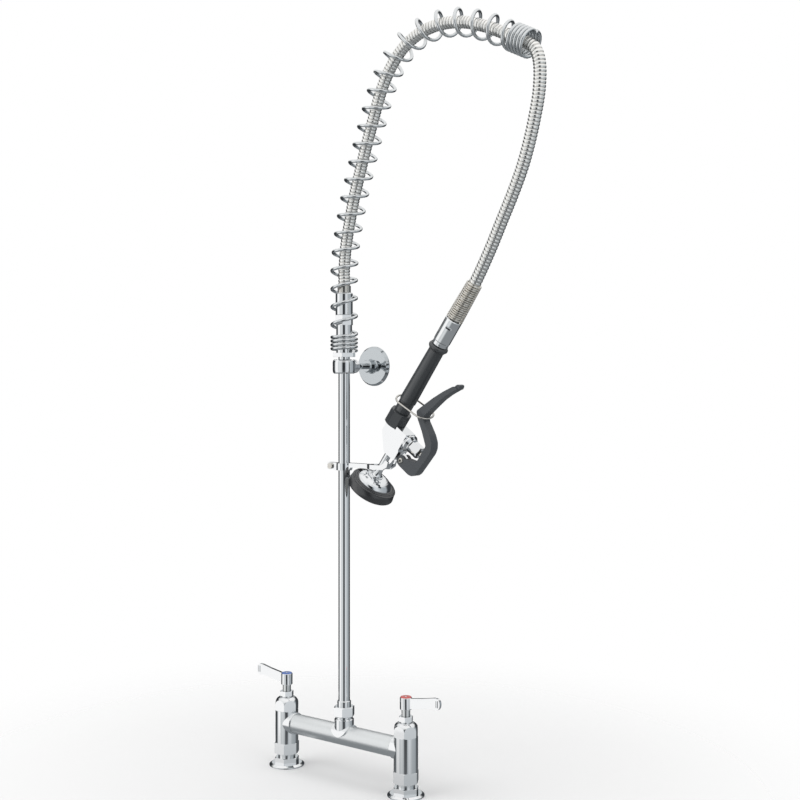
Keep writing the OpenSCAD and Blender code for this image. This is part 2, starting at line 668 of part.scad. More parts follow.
// ---- wall bracket ----
module wall_collar() {
  color(chrome) difference() {
    union() {
      translate([0, 0, z_collar_mid - collar_h / 2]) rotate_extrude() polygon([[0, 0], [collar_d / 2 - 2, 0],
        [collar_d / 2 - 0.5, 1.6], [collar_d / 2, 4], [collar_d / 2, collar_h - 4],
        [collar_d / 2 - 0.5, collar_h - 1.6], [collar_d / 2 - 2, collar_h], [0, collar_h]]);
      translate([0, 0, z_collar_mid]) rotate([-90, 0, 0]) cylinder(d = 16.6, h = 17);
    }
    translate([0, 0, z_collar_mid - 30]) cylinder(r = riser_d / 2 + slide_fit, h = 60);
    translate([0, 9, z_collar_mid]) rotate([-90, 0, 0]) cylinder(r = 4 + fit, h = 20, $fn = 48);
  }
}
module wall_nut() {
  color(chrome) translate([0, 17, z_collar_mid]) rotate([-90, 0, 0]) difference() {
    rotate_extrude()
      polygon([[0, 0], [8.2, 0], [8.7, 0.5], [8.7, 5], [7.6, 7.5], [5.6, 12], [5, 13.4], [0, 13.4]]);
    translate([0, 0, -1]) cylinder(r = 4 + fit, h = 20, $fn = 48);
  }
}
module wall_rod() {
  color(chrome) translate([0, 9.2, z_collar_mid]) rotate([-90, 0, 0])
    cylinder(r = 4, h = wall_reach - 3 - 9.2, $fn = 48);
}
module wall_flange() {
  r = wall_flange_d / 2;
  color(chrome) translate([0, wall_reach, z_collar_mid]) rotate([90, 0, 0]) difference() {
    rotate_extrude() polygon([[0, 0], [r, 0], [r, 1.4], [r - 2.4, 4.6], [10, 5.2], [9, 6.4], [8.3, 9],
      [8.3, 15.5], [7.2, 18], [0, 18]]);
    translate([0, 0, 3]) cylinder(r = 4 + fit, h = 20, $fn = 48);
  }
}

// ---- spring arm and hose ----
module overhead_spring() {
  color(steel) wire_tube(coil_path, [for (k = [0 : len(coil_path) - 1])
    coil_path[k] - coil_axis(coil_s(k / 8))], coil_wire / 2);
}
module hose() {
  n = 8;
  rings = 2 * hose_ribs + 1;
  l = line_l - foot_l - 2 * fit;
  function hp(q) = foot_l + fit + l * q;
  function ring(q, r) = ring_pts(on_line(hp(q)), side(hp(q)), [0, 1, 0], r, n);
  function first(r) = [for (p = ring_pts([0, 0, z_hose + fit], [1, 0, 0], [0, 1, 0], r, n)) p];
  outer = [for (i = [0 : rings - 1]) each ring(i / (rings - 1), hose_d / 2 - (i % 2) * 0.9)];
  inner_n = 45;
  inner = [for (i = [0 : inner_n - 1]) each ring(1 - i / (inner_n - 1), hose_bore / 2)];
  b = rings * n;
  last = b + (inner_n - 1) * n;
  color("#9da0a2") polyhedron(points = concat(outer, inner), faces = concat(
    grid_faces(rings, n),
    [for (f = grid_faces(inner_n, n)) [f[0] + b, f[1] + b, f[2] + b]],
    [for (k = [0 : n - 1]) let (k2 = (k + 1) % n, o = (rings - 1) * n)
      each [[o + k, b + k, o + k2], [o + k2, b + k, b + k2]]],
    [for (k = [0 : n - 1]) let (k2 = (k + 1) % n)
      each [[last + k, k, last + k2], [last + k2, k, k2]]]));
}

// ---- spray valve ----
module strain_relief_spring() {
  color(steel) gun() wire_tube(relief_path, [for (p = relief_path) [p[0], p[1], 0]], relief_wire / 2);
}
module hose_socket() {
  r = socket_d / 2;
  color(chrome) gun() difference() {
    translate([0, 0, s_socket]) rotate_extrude() polygon([[0, 0], [r - 0.5, 0], [r, 0.8], [r, socket_h - 0.8],
      [r - 0.6, socket_h], [0, socket_h]]);
    translate([0, 0, s_socket - 1]) cylinder(r = tube_r + fit, h = 12);
    translate([0, 0, s_socket]) cylinder(d = hose_bore, h = socket_h + 1);
    translate([0, 0, s_hose - 10]) rotate([0, 0, -62]) {
      translate([8, -2.4, -1.7]) cube([9, 4.8, 3.4]);
      for (y = [-2.4, 2.4]) translate([8, y, 0]) rotate([0, 90, 0]) cylinder(r = 1.7, h = 9, $fn = 24);
    }
  }
}
module socket_ring() {
  color(chrome) gun() difference() {
    translate([0, 0, s_grip_top]) cylinder(d = socket_d - 1, h = ring_h);
    translate([0, 0, s_grip_top - 1]) cylinder(r = tube_r + fit, h = ring_h + 2);
    for (a = [0 : 60 : 300]) rotate([0, 0, a]) translate([9.4, -1.2, s_grip_top + 1.6]) cube([4, 2.4, 8]);
  }
}
module handle_tube() {
  color(steel) gun() difference() {
    union() {
      translate([0, 0, 4]) cylinder(r = tube_r, h = s_socket + 10 - 4);
      translate([0, 0, 4]) cylinder(r = 8.9, h = 2.5);
    }
    translate([0, 0, 3]) cylinder(r = 5.4, h = 300);
  }
}
module grip() {
  g = grip_d / 2;
  b = bulge_d / 2;
  s0 = s_cnut_top;
  s1 = s_grip_top;
  color(plastic) gun() difference() {
    rotate_extrude() polygon(concat([[0, s0], [g - 0.9, s0], [g - 0.8, s_sleeve_top - 0.6],
      [g, s_sleeve_top + 0.2], [g, s_sleeve_top + 8], [g - 0.95, s1 - 8.4], [g, s1 - 7.9]],
      arc([b - 3.4, s1 - 4], 3.4, -75, 75, 6),
      [[g + 0.4, s1 - 0.2], [0, s1]]));
    translate([0, 0, s0 - 1]) cylinder(r = tube_r + fit, h = 200);
  }
}
module collar_nut() {
  color(plastic) gun() difference() {
    translate([0, 0, s_body]) nut(collar_nut_d, s_cnut_top - s_body, 1.4, 1.2, 8);
    translate([0, 0, s_body - 1]) cylinder(r = 9 + fit, h = 17.5);
    translate([0, 0, s_body]) cylinder(r = tube_r + fit, h = 40);
  }
}
module valve_body() {
  block = [[-6.2, -5.3], [-6.2, -22.8], [12.2, -43.9], [30.6, -42.8], [30.6, -30], [29, -28.2], [29, -5.3]];
  color(chrome) gun() difference() {
    union() {
      difference() {
        profile_y(block_w) polygon(soft(block, 1.2));
        translate([0, 0, s_body]) cylinder(r = collar_nut_d / 2 + 0.4, h = 30);
      }
      translate([0, 0, s_body - 3]) cylinder(r = 5.8, h = 6);
      translate([0, 0, s_body]) cylinder(r = 9, h = 14);
      profile_y(6.6) polygon(concat([[18, -30], [20, -47]], arc(pivot, 5.6, -100, 70, 10)));
      translate([neck_t, 0, s_neck_end]) rotate_extrude() polygon(concat([[0, 0], [9, 0]],
        [for (a = [0 : 10 : 80]) [neck_d / 2 + 4.5 * (1 - sin(a)), 0.4 + 11 * (1 - cos(a))]],
        [[neck_d / 2, 12], [neck_d / 2, 41], [0, 41]]));
      translate([head_t, 0, s_neck_end - 7]) cylinder(r = 6, h = 8);
    }
    translate([0, 0, s_plunger]) cylinder(d = hose_bore - 0.2, h = 40);
    across(t_end) cylinder(r = 4.5, h = 40, $fn = 48);
    across(t_seat) cylinder(r = 8, h = 40);
    translate([neck_t, 0, s_neck_end]) cylinder(r = 3, h = s_cross - s_neck_end + 1, $fn = 48);
    translate([head_t, 0, s_neck_end - 8]) cylinder(r = 4.5, h = 9.4, $fn = 48);
    translate([neck_t - 1, 0, s_cross]) rotate([0, 90, 0])
      cylinder(r = 2.4, h = t_port - neck_t + 1, $fn = 48);
    translate([t_port, 0, s_cross]) cylinder(r = 2.4, h = s_plunger - s_cross, $fn = 48);
    translate([pivot[0], 0, pivot[1]]) rotate([90, 0, 0])
      cylinder(r = pin_r + fit, h = 60, center = true, $fn = 48);
  }
}
module valve_bonnet() {
  color(chrome) gun() difference() {
    union() {
      across(t_seat) cylinder(r = 8 - fit, h = 29 - t_seat + 1);
      across(29) rotate_extrude() polygon([[0, 0], [9.4, 0], [9.4, 2.4], [11.4, 2.8], [11.9, 3.4],
        [11.9, 5.2], [9.4, 8.6], [9.4, 9.6], [0, 9.6]]);
      across(38) rotate([0, 0, 30]) nut(17.4, t_nut_end - 38, 0.8, 1.4);
    }
    across(t_seat - 1) cylinder(r = 3.1, h = 3, $fn = 48);
    across(t_seat + 1.5) cylinder(r = 5.2, h = 9.5, $fn = 48);
    across(t_seat) cylinder(r = rod_r + slide_fit, h = 60, $fn = 48);
    across(t_nut_end - 3.9) cylinder(r = 3.9, h = 10, $fn = 48);
    translate([t_port, 0, s_plunger - 12]) cylinder(r = 2.4, h = 12, $fn = 48);
  }
}
plunger_dome = 12;
module plunger() {
  color(steel) gun() union() {
    across(t_seat - 4.6) cylinder(r = 3.6, h = 2.4, $fn = 48);
    across(t_seat - 2.6) cylinder(r = 4.1, h = 2.6, $fn = 48);
    across(t_seat - 1) cylinder(r = rod_r, h = 41, $fn = 48);
    across(54.2 + 3.6) rotate_extrude($fn = 48) polygon(concat([[0, -3.2], [3.4, -3.2]],
      [for (a = [16 : -4 : 0])
        [plunger_dome * sin(a), plunger_dome * (cos(a) - 1) + t_lever_pad - fit - 57.8]]));
  }
}
module plunger_spring() {
  color(steel) gun() across(t_end + fit) difference() {
    cylinder(r = 3.5, h = t_seat - 4.6 - t_end - 2 * fit, $fn = 48);
    translate([0, 0, -1]) cylinder(r = 2.6, h = 20, $fn = 48);
  }
}
module squeeze_lever() {
  blade = [[-44.2, 37.5], [-44.8, 57.6], [-42.8, 63.6], [-37.6, 66.4], [-4, 69.2], [3.2, 67.8],
    [9.8, 63.4], [15.4, 56], [24.6, 37.6], [29.4, 35.2], [36.6, 36.8], [48, 39.8], [60, 43.2],
    [72, 48.2], [84, 54.8], [86.6, 57], [86.2, 50], [72, 41.4], [56, 33.4], [42, 27.6], [28.4, 22],
    [21.8, 28.4], [12.6, 43.2], [0.9, 58.8], [-25.6, 58.8], [-32.4, 41]];
  tip = [[54.6, 83], [57.4, 87], [57, 90.4], [55.2, 91.6], [52.2, 90.4], [49.8, 84]];
  color(plastic) gun() difference() {
    union() {
      profile_y(squeeze_w) polygon(soft([for (p = blade) [p[1], p[0]]], 2.2));
      translate([pivot[0], 0, pivot[1]]) rotate([90, 0, 0]) cylinder(r = 6.6, h = squeeze_w, center = true);
      profile_y(squeeze_w - 4) polygon(soft(tip, 1.6));
    }
    translate([pivot[0], 0, pivot[1]]) rotate([90, 0, 0])
      cylinder(r = pin_r + slide_fit, h = 60, center = true, $fn = 48);
    translate([pivot[0], 0, pivot[1]]) rotate([90, 0, 0]) cylinder(r = 7, h = 7.2, center = true);
    translate([pivot[0] - 9, -3.6, pivot[1] - 8.5]) cube([9, 7.2, 15.5]);
  }
}
module pivot_pin() {
  w = squeeze_w / 2 + 0.06;
  color(steel) gun() translate([pivot[0], 0, pivot[1]]) rotate([90, 0, 0]) union() {
    cylinder(r = pin_r, h = 2 * w, center = true, $fn = 48);
    for (s = [0, 180]) rotate([s, 0, 0]) translate([0, 0, w]) rotate_extrude($fn = 48)
      polygon([[0, 0], [3.6, 0], [3.4, 0.7], [2.2, 1.4], [0, 1.5]]);
  }
}
ring_low = [-14.6, 24.8];
ring_high = [40.6, 30.6];
ring_roll = 15;
module hold_down_ring() {
  l = norm(ring_high - ring_low);
  w = ring_w / 2 - ring_wire / 2;
  c = w - 0.4;
  r = ring_wire / 2;
  lean = atan2(ring_high[1] - ring_low[1], ring_high[0] - ring_low[0]);
  color(steel) gun() translate([ring_low[0], 0, ring_low[1]]) rotate([0, -lean, 0])
    rotate([ring_roll, 0, 0]) {
      for (x = [0, l]) translate([x, 0, 0]) rotate([90, 0, 0])
        cylinder(r = r, h = 2 * (w - c), center = true, $fn = 24);
      for (y = [-w, w]) translate([c, y, 0]) rotate([0, 90, 0]) cylinder(r = r, h = l - 2 * c, $fn = 24);
      for (q = [[c, w - c, 90], [l - c, w - c, 0], [l - c, c - w, 270], [c, c - w, 180]])
        translate([q[0], q[1], 0]) rotate([0, 0, q[2]])
          rotate_extrude(angle = 90, $fn = 48) translate([c, 0]) circle(r = r, $fn = 24);
    }
}
function head_line(g) = concat([[0, g], [9.4 + g, g]],
  [for (a = [80 : -10 : 0]) [g + 9.4 + (head_d / 2 - 9.4) * cos(a),
    g + (s_neck_end - s_skirt) * (sin(a) - 1)]]);
module spray_head() {
  r = head_d / 2;
  color(chrome) gun() translate([head_t, 0, s_neck_end]) difference() {
    rotate_extrude() polygon(concat(head_line(0), [[r, -21.8], [r - 0.6, -22.2], [0, -22.2]]));
    translate([0, 0, -30]) cylinder(r = 6 + fit, h = 31, $fn = 48);
    translate([0, 0, -30]) cylinder(r = r - 2.5, h = 18);
    translate([0, 0, -13]) cylinder(r1 = r - 2.5, r2 = 9, h = 5);
  }
}
module bumper() {
  color(rubber) gun() difference() {
    translate([head_t, 0, s_bumper]) rotate_extrude()
      polygon(concat([[0, 0]], bumper_line, [[0, -bumper_h]]));
    translate([head_t, 0, s_neck_end]) rotate_extrude()
      polygon(concat(head_line(fit), [[head_d / 2 + fit, -40], [0, -40]]));
  }
}
module spray_face() {
  r = head_d / 2 - 2.5 - fit;
  color(steel) gun() translate([head_t, 0, s_neck_end - 21.6]) difference() {
    rotate_extrude() polygon([[0, 0], [r - 0.8, 0], [r, 0.8], [r, 3], [0, 3]]);
    for (k = [0 : spray_holes - 1]) rotate([0, 0, 360 * k / spray_holes])
      translate([17, 0, -1]) cylinder(r = 0.8, h = 5, $fn = 16);
    for (k = [0 : 11]) rotate([0, 0, 30 * k]) translate([10.5, 0, -1]) cylinder(r = 0.8, h = 5, $fn = 16);
  }
}

cold() inlet();  // cold_inlet
cold() union_washer();  // cold_union_washer
cold() coupling_nut();  // cold_coupling_nut
cold() pillar();  // cold_pillar
cold() cartridge();  // cold_cartridge
cold() disc(-1);  // cold_disc
cold() bonnet();  // cold_bonnet
cold() gland_nut();  // cold_gland_nut
cold() stem(-1);  // cold_stem
cold() lever();  // cold_lever
cold() lever_screw();  // cold_lever_screw
cold() index_button("#3c6fc0");  // cold_index
hot() inlet();  // hot_inlet
hot() union_washer();  // hot_union_washer
hot() coupling_nut();  // hot_coupling_nut
hot() pillar();  // hot_pillar
hot() cartridge();  // hot_cartridge
hot() disc(1);  // hot_disc
hot() bonnet();  // hot_bonnet
hot() gland_nut();  // hot_gland_nut
hot() stem(1);  // hot_stem
hot() lever();  // hot_lever
hot() lever_screw();  // hot_lever_screw
hot() index_button("#d04848");  // hot_index
bridge_tube();
outlet_tee();
tee_washer();
riser_nut();
riser_sleeve();
riser_pipe();
hook_front();
hook_back();
hook_screw();
wall_collar();
wall_nut();
wall_rod();
wall_flange();
riser_top_nut();
hose_adapter();
adapter_nut();
riser_ferrule();
overhead_spring();
hose();
strain_relief_spring();
hose_socket();
socket_ring();
handle_tube();
grip();
collar_nut();
valve_body();
valve_bonnet();
plunger();
plunger_spring();
squeeze_lever();
pivot_pin();
hold_down_ring();
spray_head();
bumper();
spray_face();
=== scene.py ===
import bisect
import json
import math

import bmesh
import bpy
from mathutils import Matrix, Vector

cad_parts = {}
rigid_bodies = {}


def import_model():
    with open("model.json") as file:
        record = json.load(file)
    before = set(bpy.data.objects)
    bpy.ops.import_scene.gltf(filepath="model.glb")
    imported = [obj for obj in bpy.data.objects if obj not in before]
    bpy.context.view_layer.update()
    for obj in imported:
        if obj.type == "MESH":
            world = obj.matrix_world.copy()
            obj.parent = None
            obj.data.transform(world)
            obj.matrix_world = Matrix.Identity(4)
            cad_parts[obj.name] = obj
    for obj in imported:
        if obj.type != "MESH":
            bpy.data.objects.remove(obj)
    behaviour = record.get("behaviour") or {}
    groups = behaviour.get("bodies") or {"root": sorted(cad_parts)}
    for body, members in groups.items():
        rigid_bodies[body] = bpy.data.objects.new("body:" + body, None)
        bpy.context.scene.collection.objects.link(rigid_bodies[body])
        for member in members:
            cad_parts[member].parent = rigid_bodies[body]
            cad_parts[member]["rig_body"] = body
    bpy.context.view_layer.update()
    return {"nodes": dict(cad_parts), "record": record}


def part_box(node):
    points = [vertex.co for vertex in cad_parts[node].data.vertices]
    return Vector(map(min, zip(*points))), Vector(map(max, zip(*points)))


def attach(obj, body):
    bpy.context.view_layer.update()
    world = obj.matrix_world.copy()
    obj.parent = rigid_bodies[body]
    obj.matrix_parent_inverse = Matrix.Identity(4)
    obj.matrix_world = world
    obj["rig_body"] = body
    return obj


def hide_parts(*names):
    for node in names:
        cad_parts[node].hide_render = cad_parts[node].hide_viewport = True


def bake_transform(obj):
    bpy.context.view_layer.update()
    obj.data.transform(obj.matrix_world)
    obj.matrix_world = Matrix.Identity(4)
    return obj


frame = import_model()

# Pre rinse faucet: finishes, springs, ribbed hose and small details on the CAD frame, with a plain studio

mm = 0.001
nodes = frame["nodes"]
bodyOf = {name: node["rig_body"] for name, node in nodes.items()}
slotOf = {part["node"]: part["material_slot"] for part in frame["record"]["subparts"]}


cameraFacts = {
    "place": (1.0953, -1.2839, 0.5456),
    "turn": 38,  # degrees left of +Y
    "lens": 58.28,
    "shiftUp": -0.05,
}
cameraData = bpy.data.cameras.new("camera")
cameraData.lens = cameraFacts["lens"]
cameraData.sensor_width = 36
cameraData.shift_y = cameraFacts["shiftUp"]
camera = bpy.data.objects.new("camera", cameraData)
camera.location = cameraFacts["place"]
camera.rotation_euler = (math.radians(90), 0, math.radians(cameraFacts["turn"]))
bpy.context.scene.collection.objects.link(camera)
bpy.context.scene.camera = camera


# arm line: the same points as the CAD's hose, X and Z in metres from the hose's foot
armRoute = [
    (0, 0), (0, 0.010), (0, 0.020), (0.003, 0.050), (0.009, 0.080), (0.017, 0.113), (0.027, 0.146),
    (0.038, 0.180), (0.050, 0.214), (0.062, 0.246), (0.077, 0.273), (0.097, 0.295), (0.124, 0.310),
    (0.156, 0.316), (0.190, 0.313), (0.222, 0.303), (0.246, 0.292), (0.264, 0.283), (0.282, 0.274),
    (0.293, 0.264), (0.298, 0.245), (0.297, 0.216), (0.291, 0.186), (0.283, 0.156), (0.273, 0.127),
    (0.260, 0.098), (0.245, 0.068), (0.228, 0.034),
]
valve = {
    "place": Vector((0.089, 0, 0.4725)),  # middle of the collar nut
    "tilt": math.radians(35.4),
    "hoseEnd": 0.150,  # distance up the handle
}


def valvePoint(across, up, side=0):
    turned = Matrix.Rotation(valve["tilt"], 3, "Y") @ Vector((across, side, up))
    return valve["place"] + turned


def curvePoint(a, b, c, d, t):
    square, cube = 2 * a - 5 * b + 4 * c - d, 3 * b - a - 3 * c + d
    return 0.5 * (2 * b + (c - a) * t + square * t * t + cube * t ** 3)


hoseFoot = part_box("riser_ferrule")[1].z
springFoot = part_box("riser_top_nut")[1].z
springWire = 4.2 * mm
lineStart = springFoot + springWire / 2 + 0.05 * mm
footLength = hoseFoot - lineStart
corners = [Vector((0, 0, lineStart)), Vector((0, 0, lineStart + footLength / 2))]
corners += [Vector((x, 0, hoseFoot + z)) for x, z in armRoute]
corners += [valvePoint(0, valve["hoseEnd"] + back) for back in (0.053, 0.026, 0)]

line = []
for i in range(len(corners) - 1):
    a, b = corners[max(i - 1, 0)], corners[i]
    c, d = corners[i + 1], corners[min(i + 2, len(corners) - 1)]
    line += [curvePoint(a, b, c, d, j / 8) for j in range(8)]
line.append(corners[-1])
lineAt = [0]
for a, b in zip(line, line[1:]):
    lineAt.append(lineAt[-1] + (b - a).length)


def onLine(s):
    i = min(max(bisect.bisect_right(lineAt, s) - 1, 0), len(line) - 2)
    return line[i].lerp(line[i + 1], (s - lineAt[i]) / (lineAt[i + 1] - lineAt[i]))


def wayAt(s):
    return (onLine(min(s + 2 * mm, lineAt[-1])) - onLine(max(s - 2 * mm, 0))).normalized()


def sideAt(s):
    way = wayAt(s)
    return Vector((way.z, 0, -way.x))


def colour(code):
    parts = [int(code[i:i + 2], 16) / 255 for i in (1, 3, 5)]
    return [c / 12.92 if c <= 0.04045 else ((c + 0.055) / 1.055) ** 2.4 for c in parts] + [1]


def addNode(tree, kind, values=None, links=None, **settings):
    node = tree.nodes.new(kind)
    for name, value in settings.items():
        setattr(node, name, value)
    for name, value in (values or {}).items():
        node.inputs[name].default_value = value
    for name, socket in (links or {}).items():
        tree.links.new(socket, node.inputs[name])
    return node


def newMaterial(name, values):
    material = bpy.data.materials.new(name)
    material.use_nodes = True
    tree = material.node_tree
    shader = tree.nodes["Principled BSDF"]
    for key, value in values.items():
        shader.inputs[key].default_value = value
    return material, tree, shader


# Electroplated chrome over polished brass: mirror bright, with a faint waviness left by the buffing wheel
chromeFacts = {"colour": "#eff0f1", "rough": (0.03, 0.09), "waveSize": 14 * mm, "wave": 0.02}


def polishedChrome(name, facts):
    material, tree, shader = newMaterial(name, {"Base Color": colour(facts["colour"]), "Metallic": 1})
    place = addNode(tree, "ShaderNodeTexCoord")
    wave = addNode(tree, "ShaderNodeTexNoise", {"Scale": 1 / facts["waveSize"], "Detail": 2},
                   {"Vector": place.outputs["Object"]})
    film = addNode(tree, "ShaderNodeTexNoise", {"Scale": 0.25 / facts["waveSize"], "Detail": 6},
                   {"Vector": place.outputs["Object"]})
    low, high = facts["rough"]
    spread = {"From Min": 0.35, "From Max": 0.7, "To Min": low, "To Max": high}
    rough = addNode(tree, "ShaderNodeMapRange", spread, {"Value": film.outputs["Fac"]})
    bump = addNode(tree, "ShaderNodeBump", {"Strength": facts["wave"], "Distance": 1 * mm},
                   {"Height": wave.outputs["Fac"]})
    tree.links.new(rough.outputs["Result"], shader.inputs["Roughness"])
    tree.links.new(bump.outputs["Normal"], shader.inputs["Normal"])
    return material


# Stainless tube brushed round its girth: fine lines across the tube, and a broad soft highlight
brushedFacts = {
    "colour": "#f0f2f2",
    "darkColour": "#e7e9ea",
    "lineSpacing": 0.5 * mm,
    "rough": (0.32, 0.42),
}


def brushedTube(facts):
    material, tree, shader = newMaterial("brushedStainlessTube", {"Metallic": 1, "Anisotropic": 0.25})
    place = addNode(tree, "ShaderNodeTexCoord")
    # lines run round the tube, so the pattern changes fast along X and slowly across
    stretched = addNode(tree, "ShaderNodeMapping", {"Scale": (1, 0.04, 0.04)},
                        {"Vector": place.outputs["Object"]})
    lines = addNode(tree, "ShaderNodeTexNoise", {"Scale": 0.5 / facts["lineSpacing"], "Detail": 3},
                    {"Vector": stretched.outputs["Vector"]})
    tint = addNode(tree, "ShaderNodeMix", links={"Factor": lines.outputs["Fac"]}, data_type="RGBA")
    tint.inputs["A"].default_value = colour(facts["darkColour"])
    tint.inputs["B"].default_value = colour(facts["colour"])
    rough = addNode(tree, "ShaderNodeMapRange", {"To Min": facts["rough"][0], "To Max": facts["rough"][1]},
                    {"Value": lines.outputs["Fac"]})
    bump = addNode(tree, "ShaderNodeBump", {"Strength": 0.06, "Distance": 0.1 * mm},
                   {"Height": lines.outputs["Fac"]})
    tree.links.new(tint.outputs["Result"], shader.inputs["Base Color"])
    tree.links.new(rough.outputs["Result"], shader.inputs["Roughness"])
    tree.links.new(bump.outputs["Normal"], shader.inputs["Normal"])
    return material


# Bright turned or drawn metal: a little darker and warmer than chrome, with fine tool or die marks
def drawnMetal(name, colourCode, roughLow, roughHigh, markSpacing):
    material, tree, shader = newMaterial(name, {"Base Color": colour(colourCode), "Metallic": 1})
    place = addNode(tree, "ShaderNodeTexCoord")
    marks = addNode(tree, "ShaderNodeTexNoise", {"Scale": 1 / markSpacing, "Detail": 4, "Roughness": 0.7},
                    {"Vector": place.outputs["Object"]})
    rough = addNode(tree, "ShaderNodeMapRange", {"From Min": 0.3, "From Max": 0.7, "To Min": roughLow,
                    "To Max": roughHigh}, {"Value": marks.outputs["Fac"]})
    bump = addNode(tree, "ShaderNodeBump", {"Strength": 0.05, "Distance": 0.2 * mm},
                   {"Height": marks.outputs["Fac"]})
    tree.links.new(rough.outputs["Result"], shader.inputs["Roughness"])
    tree.links.new(bump.outputs["Normal"], shader.inputs["Normal"])
    return material


# Bright stainless, rougher in its hollows and darkened there with painted shade, such as the grooves where
# a stripwound hose's strips lock
def steelWithShadedHollows(name, brightCode, hollowShadeCode, rough):
    material, tree, shader = newMaterial(name, {"Metallic": 1})
    hollowShadeAndDull = addNode(tree, "ShaderNodeAttribute", attribute_name="hollowShadeAndDull")
    # painted shade: the colour darkens in the hollows where the mask read here is high, and the roughness
    # rises there
    tint = addNode(tree, "ShaderNodeMix", links={"Factor": hollowShadeAndDull.outputs["Fac"]}, data_type="RGBA")
    tint.inputs["A"].default_value = colour(brightCode)
    tint.inputs["B"].default_value = colour(hollowShadeCode)
    dull = addNode(tree, "ShaderNodeMapRange", {"To Min": rough[0], "To Max": rough[1]},
                   {"Value": hollowShadeAndDull.outputs["Fac"]})
    tree.links.new(tint.outputs["Result"], shader.inputs["Base Color"])
    tree.links.new(dull.outputs["Result"], shader.inputs["Roughness"])
    return material


# Moulded polymers: fine spark-eroded mould grain, and a soft variation in gloss from handling
wearSize = 22 * mm


def mouldedPolymer(name, colourCode, rough, grain, grainDepth, shine=0.5):
    material, tree, shader = newMaterial(name, {"Base Color": colour(colourCode), "IOR": 1.5,
                                         "Specular IOR Level": shine})
    place = addNode(tree, "ShaderNodeTexCoord")
    grains = addNode(tree, "ShaderNodeTexNoise", {"Scale": 1 / grain, "Detail": 3},
                     {"Vector": place.outputs["Object"]})
    wear = addNode(tree, "ShaderNodeTexNoise", {"Scale": 1 / wearSize, "Detail": 4},
                   {"Vector": place.outputs["Object"]})
    gloss = addNode(tree, "ShaderNodeMapRange", {"From Min": 0.3, "From Max": 0.7, "To Min": rough[0],
                    "To Max": rough[1]}, {"Value": wear.outputs["Fac"]})
    bump = addNode(tree, "ShaderNodeBump", {"Strength": 0.25, "Distance": grainDepth},
                   {"Height": grains.outputs["Fac"]})
    tree.links.new(gloss.outputs["Result"], shader.inputs["Roughness"])
    tree.links.new(bump.outputs["Normal"], shader.inputs["Normal"])
    return material


# Enamelled index button: glossy baked colour with a slight mottle under a clear coat
mottleSize = 3 * mm


def indexEnamel(name, colourCode, deepCode):
    values = {"Roughness": 0.3, "Coat Weight": 0.6, "Coat Roughness": 0.08}
    material, tree, shader = newMaterial(name, values)
    place = addNode(tree, "ShaderNodeTexCoord")
    mottle = addNode(tree, "ShaderNodeTexNoise", {"Scale": 1 / mottleSize, "Detail": 3},
                     {"Vector": place.outputs["Object"]})
    tint = addNode(tree, "ShaderNodeMix", links={"Factor": mottle.outputs["Fac"]}, data_type="RGBA")
    tint.inputs["A"].default_value = colour(deepCode)
    tint.inputs["B"].default_value = colour(colourCode)
    tree.links.new(tint.outputs["Result"], shader.inputs["Base Color"])
    return material


finishes = {
    "chrome_plate": polishedChrome("chromePlate", chromeFacts),
    "brass_plated": polishedChrome("chromePlatedBrass", {**chromeFacts, "colour": "#dcdddc"}),
    "satin_steel": brushedTube(brushedFacts),
    "stainless": drawnMetal("brightStainless", "#cfccc6", 0.08, 0.2, 1.2 * mm),
    "spring_steel": drawnMetal("drawnSpringWire", "#dfe1e2", 0.05, 0.14, 1.5 * mm),
    "hose_steel": steelWithShadedHollows("stripwoundHoseSteel", "#fbfaf7", "#bebbb6", (0.18, 0.3)),
    "brass": drawnMetal("machinedBrass", "#c9a45c", 0.15, 0.28, 0.8 * mm),
    "ceramic": mouldedPolymer("aluminaCeramic", "#e9e6de", (0.12, 0.2), 0.6 * mm, 0.01 * mm),
    "black_rubber": mouldedPolymer("nitrileRubber", "#2c2d2f", (0.24, 0.32), 0.5 * mm, 0.02 * mm, 1.0),
    "grip_black": mouldedPolymer("thermoplasticGrip", "#36393c", (0.26, 0.34), 0.4 * mm, 0.02 * mm, 1.0),
    "lever_coating": mouldedPolymer("glassFilledNylon", "#4a4e52", (0.36, 0.46), 0.45 * mm, 0.03 * mm),
    "index_blue": indexEnamel("blueEnamel", "#3f6fc4", "#2f5cae"),
    "index_red": indexEnamel("redEnamel", "#e0524a", "#c8403a"),
}
# the wall plate's chrome is a little rougher than the cast pieces, and darker as painted shade for the grey
# of its face
shadedFlangeFacts = {**chromeFacts, "colour": "#c0c5c8", "rough": (0.05, 0.1)}
finishes["flange_chrome_shaded"] = polishedChrome("shadedFlangeChrome", shadedFlangeFacts)
# stainless wire that heat has given a warm tone
finishes["spring_steel_warm"] = drawnMetal("warmSpringWire", "#e4dfd6", 0.14, 0.26, 1 * mm)
# nickel plated rivet, rougher in the hollows of its heads, with painted shade darkening the colour there
finishes["rivet_steel"] = steelWithShadedHollows("hollowRivetSteel", "#d8d4cc", "#3a3835", (0.12, 0.4))
ownFinish = {"wall_flange": "flange_chrome_shaded"}
for name, node in nodes.items():
    node.data.materials.clear()
    node.data.materials.append(finishes[ownFinish.get(name, slotOf[name])])
print("materials:", len(finishes))


def finishPiece(name, mesh, node):
    piece = bpy.data.objects.new(name, mesh)
    bpy.context.scene.collection.objects.link(piece)
    slot = slotOf[node]
    mesh.materials.clear()
    mesh.materials.append(finishes[slot])
    return piece


